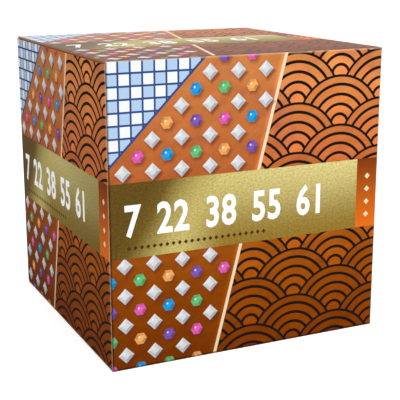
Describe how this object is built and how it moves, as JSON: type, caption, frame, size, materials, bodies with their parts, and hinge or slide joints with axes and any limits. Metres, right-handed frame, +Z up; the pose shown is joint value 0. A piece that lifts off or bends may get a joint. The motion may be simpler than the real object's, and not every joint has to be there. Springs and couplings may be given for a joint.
{
  "type": "boxed bingo game",
  "caption": "Folding printed carton, cube shaped, holding a wire ball cage on a crank stand with ball track, numbered balls, chips, cards and calling board.",
  "frame": {"origin": "middle of the carton's underside, on the surface it stands on", "axes": "+Z up; the carton's front faces -Y; +X is to the right seen from the front, and the cage's crank is on that side"},
  "size_m": [0.21, 0.21, 0.21],
  "materials": {
    "printed_board": "printed and varnished, satin",
    "plain_board": "uncoated grey-white board back",
    "kraft_board": "uncoated kraft",
    "black_paint": "gloss black enamel on steel wire",
    "bright_steel": "bright zinc",
    "black_plastic": "satin moulded",
    "black_rubber": "matt",
    "ball_plastic": "glossy pale grey",
    "card_face": "printed card, satin",
    "board_plastic": "moulded, satin",
    "paper_white": "uncoated paper",
    "chip_pink": "glossy",
    "chip_blue": "glossy",
    "chip_green": "glossy",
    "chip_orange": "glossy",
    "chip_violet": "glossy"
  },
  "bodies": {
    "root": {"front_panel": "printed_board", "back_panel": "printed_board", "right_panel": "printed_board", "left_panel": "printed_board", "glue_flap": "plain_board", "bottom_panel": "printed_board", "bottom_tuck_flap": "printed_board", "bottom_dust_flap_right": "printed_board", "bottom_dust_flap_left": "printed_board", "floor_pad": "kraft_board", "card_divider": "kraft_board", "base_left_rod": "black_paint", "base_right_rod": "black_paint", "base_front_rod": "black_paint", "base_rear_rod": "black_paint", "bearing_left": "black_paint", "bearing_right": "black_paint", "leg_front_left": "black_paint", "leg_rear_left": "black_paint", "leg_front_right": "black_paint", "leg_rear_right": "black_paint", "foot_front_left": "black_rubber", "foot_rear_left": "black_rubber", "foot_front_right": "black_rubber", "foot_rear_right": "black_rubber", "ball_track": "black_paint", "track_post_left": "black_paint", "track_post_right": "black_paint", "ball_pile": "ball_plastic", "card_deck": "card_face", "card_band": "paper_white", "calling_board": "board_plastic", "rules_leaflet": "paper_white", "chips_pink": "chip_pink", "chips_blue": "chip_blue", "chips_green": "chip_green", "chips_orange": "chip_orange", "chips_violet": "chip_violet", "chip_rack": "black_plastic"},
    "lid": {"lid_panel": "printed_board"},
    "tuck_flap": {"lid_tuck_flap": "printed_board"},
    "dust_right": {"dust_flap_right": "printed_board"},
    "dust_left": {"dust_flap_left": "printed_board"},
    "drum": {"cage_right": "black_paint", "cage_left": "black_paint", "hub_right": "black_paint", "hub_left": "black_paint", "rim_clip_1": "bright_steel", "rim_clip_2": "bright_steel", "rim_clip_3": "bright_steel", "left_axle_pin": "black_paint", "crank_rod": "black_paint", "knob_cap": "bright_steel", "door_hinge_pin": "bright_steel"},
    "knob": {"crank_knob": "black_plastic"},
    "door": {"cage_door": "bright_steel", "door_knob": "bright_steel"}
  },
  "joints": [
    {"name": "lid_hinge", "type": "hinge", "parent": "root", "child": "lid", "pos_m": [0, 0.105, 0.2085], "axis": [-1, 0, 0], "range_deg": [0, 175]},
    {"name": "tuck_fold", "type": "hinge", "parent": "lid", "child": "tuck_flap", "pos_m": [0, -0.1032, 0.2085], "axis": [-1, 0, 0], "range_deg": [0, 45]},
    {"name": "dust_right_fold", "type": "hinge", "parent": "root", "child": "dust_right", "pos_m": [0.1035, 0, 0.2085], "axis": [0, 1, 0], "range_deg": [0, 110]},
    {"name": "dust_left_fold", "type": "hinge", "parent": "root", "child": "dust_left", "pos_m": [-0.1035, 0, 0.2085], "axis": [0, -1, 0], "range_deg": [0, 110]},
    {"name": "drum_spin", "type": "hinge", "parent": "root", "child": "drum", "pos_m": [0, -0.014, 0.1078], "axis": [1, 0, 0], "continuous": true},
    {"name": "knob_spin", "type": "hinge", "parent": "drum", "child": "knob", "pos_m": [0.094, -0.014, 0.0628], "axis": [1, 0, 0], "continuous": true},
    {"name": "door_hinge", "type": "hinge", "parent": "drum", "child": "door", "pos_m": [0.01316, -0.06432, 0.16086], "axis": [-0.9713, -0.1948, 0.1364], "range_deg": [0, 100]}
  ],
  "couplings": [
    {"joint": "tuck_fold", "follows": "lid_hinge", "ratio": 0.25},
    {"joint": "dust_right_fold", "follows": "lid_hinge", "ratio": 0.6},
    {"joint": "dust_left_fold", "follows": "lid_hinge", "ratio": 0.6}
  ]
}
